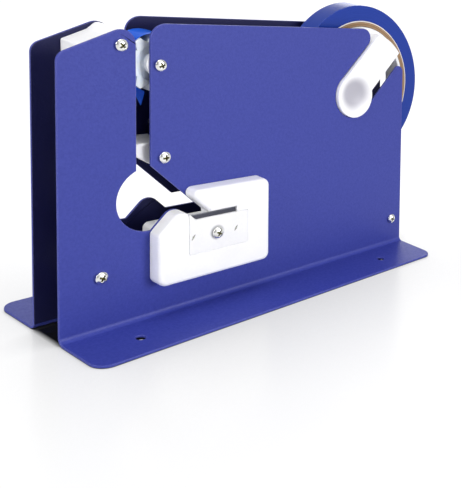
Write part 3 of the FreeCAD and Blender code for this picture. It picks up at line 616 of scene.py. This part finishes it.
def cardboard(centre, outer):
    """Wound brown board with thin plies, and a pale paper ply on the outside."""
    material, tree, shader = new_material("cardboard")
    place = object_place(tree, offset=(-centre.x, -centre.y, -centre.z))
    polar = use_group(tree, radius_group, Vector=place)
    grain = use_group(tree, grain_group, Vector=place, Scale=1800.0, Broad=160.0)
    plies = node(tree, "ShaderNodeTexNoise", noise_dimensions="1D")
    plies.inputs["Scale"].default_value = 1800
    tree.links.new(polar.outputs["Radius"], plies.inputs["W"])
    board = mix_colour(tree, ramp(tree, plies.outputs["Fac"], 0, 1, 0.35, 0.65),
                       (0.23, 0.135, 0.07, 1), (0.42, 0.28, 0.165, 1))
    speckled = mix_colour(tree, ramp(tree, grain.outputs["Variation"], 0, 0.5, 0.4, 0.65),
                          board, (0.31, 0.20, 0.12, 1))
    paper = ramp(tree, polar.outputs["Radius"], 0, 1, outer - 0.8 * MM, outer - 0.7 * MM)
    mixed = mix_colour(tree, paper, speckled, (0.78, 0.74, 0.70, 1))
    tree.links.new(mixed, shader.inputs["Base Color"])
    shader.inputs["Roughness"].default_value = 0.85
    shader.inputs["Specular IOR Level"].default_value = 0.2
    add_bump(tree, shader, grain.outputs["Height"], 0.4, 0.00015)
    return material


# ---------------------------------------------------------------- turned pieces

def tape_roll_piece():
    low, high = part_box("tape_roll")
    radius = (high.x - low.x) / 2
    core_radius = half_size("tape_core").x
    half = half_size("tape_roll").y
    grid = ring_grid(core_radius, radius, -half, half, reel, 0.25 * MM, 320)
    return add_object("tape_roll_wound", mesh_of("tape_roll_wound", [grid]), "roll",
                      "tape_roll")


def tape_core_piece():
    core_radius = half_size("tape_core").x
    half = half_size("tape_core").y
    grid = ring_grid(core_radius - CORE_WALL, core_radius - 0.02 * MM, -half, half, reel,
                     0.15 * MM, 320)
    return add_object("tape_core_board", mesh_of("tape_core_board", [grid]), "roll",
                      "tape_core")


def rings_piece(node_name, body, bore, edge):
    """Plain rings of one CAD node with this bore, their edges rounded."""
    grids = []
    for low, high in islands(node_name):
        half = (high - low) / 2
        grids.append(ring_grid(bore, half.x, -half.y, half.y, (low + high) / 2, edge, 96))
    return add_object(node_name + "_turned", mesh_of(node_name + "_turned", grids), body,
                      node_name)


# ---------------------------------------------------------------- fasteners

def cross_depth(x, z):
    """Depth of the cross recess: two crossed bars whose walls slope in towards the centre."""
    radius = np.hypot(x, z)
    bar = np.minimum(np.abs(x), np.abs(z))
    across = np.clip((0.50 * MM - bar) / (0.22 * MM), 0, 1)
    along = np.clip((1.75 * MM - radius) / (0.9 * MM), 0, 1)
    return 1.25 * MM * np.minimum(across, along)


def screw_grid(centre, seat, way, length, turn):
    """Pan head screw as one grid of angle by profile; way is the Y direction of the shank."""
    around = 96
    angle = np.linspace(0, TURN, around, endpoint=False)[:, None]
    dome = np.linspace(0, 1, 26)[None, :] ** 0.9
    top_radius = HEAD * dome * 0.985
    x = top_radius * np.cos(angle + turn)
    z = top_radius * np.sin(angle + turn)
    sunk = cross_depth(x, z)
    top_depth = -HEAD_HEIGHT + HEAD_HEIGHT * 0.45 * dome ** 3 + sunk
    side = np.array([[HEAD, -HEAD_HEIGHT * 0.5], [HEAD, -0.15 * MM], [HEAD * 0.96, 0.0],
                     [SHANK * 1.02, 0.0]])
    turns = np.arange(0.2 * MM, length - 0.4 * MM, THREAD_PITCH / 3)
    thread = np.stack([np.full_like(turns, SHANK), turns], axis=1)
    tip = np.array([[SHANK * 0.8, length - 0.1 * MM], [SHANK * 0.7, length], [0.0, length]])
    rest = np.concatenate([side, thread, tip])
    radius = np.concatenate([top_radius + 0 * angle, rest[None, :, 0] + 0 * angle], axis=1)
    depth = np.concatenate([top_depth, rest[None, :, 1] + 0 * angle], axis=1)
    wave = np.abs(((depth / THREAD_PITCH + way * angle / TURN) % 1) * 2 - 1)
    threaded = (depth > 0.15 * MM) & (depth < length - 0.3 * MM)
    radius = np.where(threaded, radius - 0.22 * MM * wave, radius)
    grid = np.stack([centre.x + radius * np.cos(angle), seat + way * depth,
                     centre.z + radius * np.sin(angle)], axis=-1)
    # film here is the share of painted dark olive shade in the cross recess, kept as the recess
    # attribute.
    film = np.clip(sunk / (0.5 * MM), 0, 1)
    film = np.concatenate([film, np.zeros((around, len(rest)))], axis=1)
    return grid, film


def screws_piece(node_name, body, seat, length, way=1):
    """All the screws of one CAD node. seat is the depth of the face under the heads."""
    grids = []
    recess_shades = []
    for k, (low, high) in enumerate(islands(node_name)):
        grid, film = screw_grid((low + high) / 2, seat, way, length, 0.5 + 1.9 * k)
        grids.append((grid, True, False))
        recess_shades.append(film)
    mesh = mesh_of(node_name + "_turned", grids, 30, recess_shades)
    return add_object(node_name + "_turned", mesh, body, node_name)


def nut_grid(low, high):
    """Hexagon nut along Y with its corners cut by a cone of 30 degrees on both faces.

    hexagon(angle) = half_flats / cos((angle mod 60 degrees) - 30 degrees)
    """
    centre = (low + high) / 2
    half = (high - low) / 2
    angle = np.linspace(0, TURN, 144, endpoint=False)
    hexagon = half.z / np.cos(angle % (TURN / 6) - TURN / 12)
    hexagon = np.minimum(hexagon, 0.98 * half.x)
    flat = 0.95 * half.z + 0 * angle
    corner = half.y - (hexagon - flat) * math.tan(math.radians(30))
    bore = SHANK + 0 * angle
    ease = 0.15 * MM
    rows = [
        (bore, half.y - ease + 0 * angle), (bore + ease, half.y + 0 * angle),
        (flat - ease, half.y + 0 * angle), (flat, half.y + 0 * angle), (hexagon, corner),
        (hexagon, corner - ease), (hexagon, ease - corner), (hexagon, -corner),
        (flat, -half.y + 0 * angle), (flat - ease, -half.y + 0 * angle),
        (bore + ease, -half.y + 0 * angle), (bore, ease - half.y + 0 * angle),
    ]
    grid = [np.stack([centre.x + radius * np.cos(angle), centre.y + depth,
                      centre.z + radius * np.sin(angle)], axis=-1) for radius, depth in rows]
    return np.stack(grid, axis=1), True, True


def nuts_piece():
    grids = [nut_grid(low, high) for low, high in islands("frame_nuts")]
    return add_object("frame_nuts_turned", mesh_of("frame_nuts_turned", grids, 25), "frame",
                      "frame_nuts")


def pins_piece():
    """Locating pins, each with a narrow slot across its visible end."""
    grids = []
    recess_shades = []
    angle = np.linspace(0, TURN, 64, endpoint=False)[:, None]
    for low, high in islands("clamp_pins"):
        centre = (low + high) / 2
        radius = (high.x - low.x) / 2
        share = np.concatenate([np.linspace(0, 0.93, 15), [1.0, 1.0, 0.93, 0.0]])[None, :]
        ease = 0.06 * MM
        ends = np.concatenate([np.zeros(15), [ease, high.y - low.y - ease],
                               [high.y - low.y] * 2])[None, :]
        across = share * radius * np.cos(angle - math.radians(-25))
        slot = np.clip((0.24 * MM - np.abs(across)) / (0.08 * MM), 0, 1) * (ends == 0)
        depth = ends + slot * 0.5 * MM
        grids.append((np.stack([centre.x + share * radius * np.cos(angle), low.y + depth,
                                centre.z + share * radius * np.sin(angle)], axis=-1),
                      True, False))
        # The slot also carries the painted dark olive shade through the recess attribute.
        recess_shades.append(slot)
    mesh = mesh_of("clamp_pins_turned", grids, 30, recess_shades)
    return add_object("clamp_pins_turned", mesh, "frame", "clamp_pins")


# ---------------------------------------------------------------- spring and tape

def tube_grid(path, radius):
    """Round wire along a path: a circle set square to the path at each of its points."""
    sides = 14
    tangent = np.gradient(path, axis=0)
    tangent /= np.linalg.norm(tangent, axis=1, keepdims=True)
    first = np.cross(tangent, np.array([0.02, 1.0, 0.03]))
    first /= np.linalg.norm(first, axis=1, keepdims=True)
    second = np.cross(tangent, first)
    angle = np.linspace(0, TURN, sides, endpoint=False)[None, :, None]
    grid = path[:, None] + radius * (np.cos(angle) * first[:, None]
                                     + np.sin(angle) * second[:, None])
    start = np.repeat(path[:1, None], sides, axis=1)
    stop = np.repeat(path[-1:, None], sides, axis=1)
    return np.concatenate([start, grid, stop]), False, True


def spring_piece():
    """Torsion spring: x = R sin(t), y = pitch t / 2 pi, z = R cos(t), with straight legs."""
    low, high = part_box("lever_spring")
    wire, coil, pitch, leg, turns = 0.4 * MM, 4.4 * MM, 0.9 * MM, 10.5 * MM, 4
    slope = pitch / (TURN * coil)
    centre = Vector(((low.x + high.x) / 2, low.y + wire + slope * leg, LEVER_AXLE))
    t = np.linspace(0, TURN * turns, 60 * turns + 1)
    helix = np.stack([coil * np.sin(t), pitch * t / TURN, coil * np.cos(t)], axis=1)
    way = np.array([1.0, slope, 0.0]) / math.hypot(1.0, slope)
    legs = np.linspace(0.04, 1, 16)[:, None] * leg * way
    path = np.concatenate([helix[:1] - legs[::-1], helix, helix[-1:] + legs])
    path += np.array(centre)
    mesh = mesh_of("lever_spring_wound", [tube_grid(path, wire)])
    return add_object("lever_spring_wound", mesh, "lever", "lever_spring")


def strip_piece():
    """Tape led off the underside of the roll and round the wheel, its torn end hanging down.

    The path is a straight tangent of both circles, an arc about the wheel and an upright tail.
    Across its width the tail is torn to a point.
    """
    hub = middle("wheel_collars")
    half = half_size("tape_strip").y
    near = WHEEL_REACH + TAPE_AIR + TAPE / 2
    far = half_size("tape_roll").x + TAPE_AIR - TAPE / 2
    span = reel - hub
    length = math.hypot(span.x, span.z)
    lean = math.atan2(span.z, span.x) - math.asin((near + far) / length)
    leave = lean + math.pi / 2
    wrap = math.radians(250)
    run = math.sqrt(length ** 2 - (near + far) ** 2)
    arc = near * (wrap - leave)
    tail = 8 * MM
    share = np.concatenate([np.linspace(0, run, 40), run + np.linspace(0, arc, 90)[1:]])
    share = np.concatenate([share, run + arc + np.linspace(0, tail, 30)[1:]])
    columns = 33
    across = np.linspace(-1, 1, columns)
    across = np.concatenate([across, across[::-1]])
    side = np.where(np.arange(2 * columns) < columns, 0.5, -0.5) * TAPE
    place = share[:, None] + 0 * across[None, :]
    cut = np.clip(np.minimum((across + 1.08) / 0.53, 1 - 0.78 * (across + 0.55)), 0.12, 1)
    over = place - run - arc
    place = np.where(over > 0, run + arc + over * cut[None, :], place)
    side = side[None, :] + 0 * place
    place, side = (np.concatenate([a[:1], a, a[-1:]]) for a in (place, side))
    side[0] = 0
    side[-1] = 0
    turned = leave + np.clip(place - run, 0, arc) / near
    first = np.minimum(place, run) - run
    last = np.maximum(place - run - arc, 0)
    swing = np.clip(last / (1.5 * MM), 0, 1)
    facing = turned + (math.pi - turned) * swing
    x = hub.x + near * np.cos(turned) + side * np.cos(facing) - first * math.sin(leave)
    z = hub.z + near * np.sin(turned) + side * np.sin(facing) + first * math.cos(leave) - last
    grid = np.stack([x, hub.y + half * across[None, :] + 0 * x, z], axis=-1)
    mesh = mesh_of("tape_strip_led", [(grid, False, True)], 60)
    return add_object("tape_strip_led", mesh, "frame", "tape_strip")


# ---------------------------------------------------------------- camera, floor and light

def add_camera():
    """Camera at the user's left, looking down on the sealer; its three axes lean a little."""
    camera = bpy.data.objects.new("camera", bpy.data.cameras.new("camera"))
    bpy.context.scene.collection.objects.link(camera)
    focal_pixels, sensor_mm, picture_height = 932.8, 36, 488
    camera.data.lens = focal_pixels * sensor_mm / picture_height
    camera.data.clip_start = 0.02
    camera.data.clip_end = 20
    lean = bpy.data.objects.new("camera_lean", None)
    bpy.context.scene.collection.objects.link(lean)
    right = Vector((0.4407, -0.8768, 0.1926))
    up = Vector((0.0473, 0.0681, 0.9966))
    back = Vector((-0.5656, -0.7338, 0.3764))
    place = Vector((-311.1, -389.5, 222.8)) * MM
    camera.parent = lean
    camera.matrix_parent_inverse = Matrix((
        (right.x, up.x, back.x, place.x),
        (right.y, up.y, back.y, place.y),
        (right.z, up.z, back.z, place.z),
        (0, 0, 0, 1)))
    bpy.context.scene.camera = camera


def add_world(fill):
    """White room for the camera, with a low fill light.

    In reflections it is dimmer on the left and at the right of the front.
    """
    world = bpy.data.worlds.new("white_room")
    bpy.context.scene.world = world
    world.use_nodes = True
    tree = world.node_tree
    tree.nodes.clear()
    out = node(tree, "ShaderNodeOutputWorld")
    background = node(tree, "ShaderNodeBackground")
    background.inputs["Color"].default_value = (1, 1, 1, 1)
    path = node(tree, "ShaderNodeLightPath")
    place = node(tree, "ShaderNodeTexCoord")
    parts = node(tree, "ShaderNodeSeparateXYZ")
    tree.links.new(place.outputs["Generated"], parts.inputs[0])
    left_half = ramp(tree, parts.outputs["X"], 0.10, 1.0, -0.75, -0.15)
    right = ramp(tree, parts.outputs["X"], 0.0, 0.55, 0.45, 0.72)
    front = ramp(tree, parts.outputs["Y"], 1.0, 0.0, -0.3, 0.1)
    kept = math_node(tree, "SUBTRACT", 1.0, math_node(tree, "MULTIPLY", right, front))
    mirrored = math_node(tree, "MULTIPLY", left_half, kept)
    plain = ramp(tree, path.outputs["Is Camera Ray"], fill, 1.0)
    mixed = node(tree, "ShaderNodeMix")
    tree.links.new(path.outputs["Is Glossy Ray"], mixed.inputs[0])
    tree.links.new(plain, mixed.inputs[2])
    tree.links.new(mirrored, mixed.inputs[3])
    tree.links.new(mixed.outputs[0], background.inputs["Strength"])
    tree.links.new(background.outputs[0], out.inputs[0])


def shadow_footprint(tree, half_x, half_y, fade_x=MM):
    """1 under the sealer, inside a rectangle about its middle, fading out towards its sides: mask
    of a painted shadow on the table.
    """
    parts = node(tree, "ShaderNodeSeparateXYZ")
    tree.links.new(object_place(tree, offset=(-BASE_MIDDLE, 0, 0)), parts.inputs[0])
    sides = []
    for axis, half, fade in (("X", half_x, fade_x), ("Y", half_y, MM)):
        far = math_node(tree, "ABSOLUTE", parts.outputs[axis])
        sides.append(ramp(tree, far, 1.0, 0.0, half - fade, half))
    return math_node(tree, "MULTIPLY", *sides)


def painted_light_under_holes(tree):
    """Mask of a painted light: 1 on the table under each of the four anchor holes, at the side
    where light falls in.
    """
    parts = node(tree, "ShaderNodeSeparateXYZ")
    tree.links.new(object_place(tree), parts.inputs[0])
    squares = []
    for axis, place in (("X", HOLE_ACROSS + 0.4 * MM), ("Y", HOLE_DEPTH + MM)):
        side = math_node(tree, "ABSOLUTE", parts.outputs[axis])
        off = math_node(tree, "SUBTRACT", side, place)
        squares.append(math_node(tree, "MULTIPLY", off, off))
    far = math_node(tree, "SQRT", math_node(tree, "ADD", *squares))
    return ramp(tree, far, 1.0, 0.0, 1.5 * MM, 1.9 * MM)


def add_floor():
    """Pale table top: white where it is open, with painted shade the more the sealer stands over
    it.

    Light rays meet a plain diffuse white. Rays that are seen meet a glow with painted shade in its
    colour: darker the less open the place is, nearly black under the flanges and the gap, painted
    light under the anchor holes, and a faint glossy reflection in it.
    """
    mesh = bpy.data.meshes.new("table_top")
    side = 4.0
    corners = [(-side, -side, 0), (side, -side, 0), (side, side, 0), (-side, side, 0)]
    mesh.from_pydata(corners, [], [(0, 1, 2, 3)])
    floor = bpy.data.objects.new("table_top", mesh)
    bpy.context.scene.collection.objects.link(floor)
    floor.location.z = -FLOOR_DROP
    material, tree, shader = new_material("table_top")
    shader.inputs["Base Color"].default_value = (0.85, 0.85, 0.87, 1)
    shader.inputs["Roughness"].default_value = 0.9
    # Painted shade: ambient occlusion through a colour ramp darkens the seen glow where the sealer
    # stands over the table.
    open_share = node(tree, "ShaderNodeAmbientOcclusion", samples=16)
    open_share.inputs["Distance"].default_value = 0.13
    open_shade_tone = node(tree, "ShaderNodeValToRGB")
    tree.links.new(open_share.outputs["AO"], open_shade_tone.inputs[0])
    stops = open_shade_tone.color_ramp.elements
    shadow_black = (0.004, 0.004, 0.005, 1)
    stops[0].position, stops[0].color = 0.12, shadow_black
    stops[1].position, stops[1].color = 0.985, (1, 1, 1, 1)
    for position, level in ((0.34, 0.06), (0.50, 0.52), (0.64, 0.71), (0.82, 0.86)):
        stop = stops.new(position)
        stop.color = (level, level, level * 1.015, 1)
    # Painted shadow: nearly black under the flanges and under the gap between the plates.
    under = math_node(tree, "MAXIMUM", shadow_footprint(tree, *SHADOW_UNDER_BASE),
                      shadow_footprint(tree, *SHADOW_UNDER_GAP, 3 * MM))
    dark = mix_colour(tree, under, open_shade_tone.outputs[0], shadow_black)
    # Painted light: a pale grey crescent on the table under each anchor hole.
    dark = mix_colour(tree, painted_light_under_holes(tree), dark, (0.62, 0.62, 0.66, 1))
    glow = node(tree, "ShaderNodeEmission")
    tree.links.new(dark, glow.inputs["Color"])
    glow.inputs["Strength"].default_value = 1.07
    mirror = node(tree, "ShaderNodeBsdfAnisotropic")
    mirror.inputs["Roughness"].default_value = 0.25
    seen = node(tree, "ShaderNodeMixShader")
    seen.inputs[0].default_value = 0.07
    tree.links.new(glow.outputs[0], seen.inputs[1])
    tree.links.new(mirror.outputs[0], seen.inputs[2])
    path = node(tree, "ShaderNodeLightPath")
    share = math_node(tree, "ADD", path.outputs["Is Camera Ray"], path.outputs["Is Glossy Ray"],
                      clamp=True)
    mix = node(tree, "ShaderNodeMixShader")
    tree.links.new(share, mix.inputs[0])
    tree.links.new(shader.outputs[0], mix.inputs[1])
    tree.links.new(seen.outputs[0], mix.inputs[2])
    out = [n for n in tree.nodes if n.type == "OUTPUT_MATERIAL"][0]
    tree.links.new(mix.outputs[0], out.inputs["Surface"])
    mesh.materials.append(material)


def add_light(name, place, target, size, power, spread=180):
    """Square soft light; a narrow spread in degrees makes it fall off beside its target."""
    light = bpy.data.objects.new(name, bpy.data.lights.new(name, "AREA"))
    bpy.context.scene.collection.objects.link(light)
    light.data.size = size
    light.data.energy = power
    light.data.spread = math.radians(spread)
    light.location = place
    light.rotation_mode = "QUATERNION"
    light.rotation_quaternion = (Vector(target) - Vector(place)).to_track_quat("-Z", "Y")


# ---------------------------------------------------------------- putting it together

coat = powder_coat()
plastic = white_plastic()
milky = clear_plastic()
blade_steel = metal("blade_steel", (0.075, 0.077, 0.10, 1), 0.40, (0.15, 1, 1), 0.2, GROUND)
wire_steel = metal("spring_steel", (0.42, 0.42, 0.43, 1), 0.3, (1, 1, 1), 0.1)
brass = metal("brass", (0.60, 0.44, 0.18, 1), 0.3, (1, 1, 1), 0.1)
zinc = screw_steel()
film = tape_film("blue_tape", reel, (0.011, 0.036, 0.27, 1), (0.018, 0.052, 0.34, 1), 0.15)
# The led tape is the roll's tape painted much brighter: a painted light for light shining through
# the strip.
led_tape_painted_light = tape_film("blue_tape_led_painted_light", reel, (0.010, 0.10, 0.68, 1), (0.020, 0.14, 0.78, 1),
                     0.05)
# Arbor plastic with a painted shade in the dish of the front boss, fading out between 6.3 and 13
# mm from its middle.
dish_shaded_plastic = white_plastic("white_plastic_dish_shade", 1.0, DISH_SHADE_CENTRE, (6.3 * MM, 13.0 * MM),
                        (0.47, 0.46, 0.52, 1))
# Clamp plastic, a little greyer, with a painted shadow ring round the clamp screw's head and
# painted dark slots at the two pins.
clamp_shaded_plastic = white_plastic("white_plastic_clamp_shade", 0.95, middle("clamp_screw"),
                        (2.9 * MM, 4.6 * MM), (0.42, 0.42, 0.45, 1),
                        [(low + high) / 2 for low, high in islands("clamp_pins")])
board = cardboard(reel, half_size("tape_core").x)


def paint(thing, material):
    thing.data.materials.clear()
    thing.data.materials.append(material)


for plate in ("front_plate", "rear_plate"):
    paint(softened(plate, "frame", 0.28 * MM), coat)
paint(softened("slot_guide_block", "frame", 0.7 * MM, 3), plastic)
paint(softened("cutter_lever", "lever", 0.3 * MM, 2,
               shape=lambda work: lower_head(work, LEVER_SHOULDER, 0.22)), plastic)
paint(softened("reel_arbor", "arbor", 0.35 * MM, 3), dish_shaded_plastic)
paint(softened("trimmer_block", "frame", 0.3 * MM, 2), plastic)
paint(softened("blade_clamp", "frame", 0.12 * MM, 2), clamp_shaded_plastic)
paint(softened("trimmer_backing", "frame", 0.5 * MM, 2), plastic)
paint(softened("star_wheel", "wheel", 0.25 * MM, 2), milky)
paint(tape_roll_piece(), film)
paint(tape_core_piece(), board)
paint(strip_piece(), led_tape_painted_light)

blade_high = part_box("trimmer_blade")[1]
knife_low, knife_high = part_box("tape_knife")
paint(softened("trimmer_blade", "frame", 0.02 * MM, 1,
               shape=lambda work: grind(work, blade_high.z - GRIND_BLADE, blade_high.z, 1,
                                        blade_high.y, 0.8)), blade_steel)
paint(softened("tape_knife", "lever", 0.02 * MM, 1,
               shape=lambda work: grind(work, knife_high.z - GRIND_KNIFE, knife_high.z, 0,
                                        knife_low.x, 0.85)), blade_steel)

paint(rings_piece("frame_washers", "frame", SCREW_BORE, 0.12 * MM), zinc)
paint(rings_piece("spacer_sleeves", "frame", SCREW_BORE, 0.25 * MM), zinc)
paint(rings_piece("wheel_collars", "frame", COLLAR_BORE, 0.25 * MM), plastic)
paint(rings_piece("clamp_insert", "frame", SHANK, 0.2 * MM), brass)
paint(nuts_piece(), zinc)
paint(pins_piece(), zinc)
paint(spring_piece(), wire_steel)
front_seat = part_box("front_plate")[1].y - PLATE
paint(screws_piece("frame_screws", "frame", front_seat, 25 * MM), zinc)
paint(screws_piece("clamp_screw", "frame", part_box("blade_clamp")[0].y, 5.5 * MM), zinc)
paint(screws_piece("trimmer_screws", "frame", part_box("trimmer_backing")[1].y, 14 * MM, -1), zinc)

add_camera()
add_world(0.13)
add_floor()
add_light("key", (0.55, -1.5, 0.5), (-0.16, 0, 0.09), 0.9, 3.2, 65)
add_light("top", (-0.2, -0.15, 1.3), (0, 0, 0), 0.9, 7)
add_light("back", (1.0, 1.2, 0.4), (0, 0, 0.08), 0.9, 6)
add_light("left", (-1.3, -0.1, 0.65), (0, 0, 0.08), 0.7, 11.5)

scene = bpy.context.scene
scene.view_settings.view_transform = "Standard"
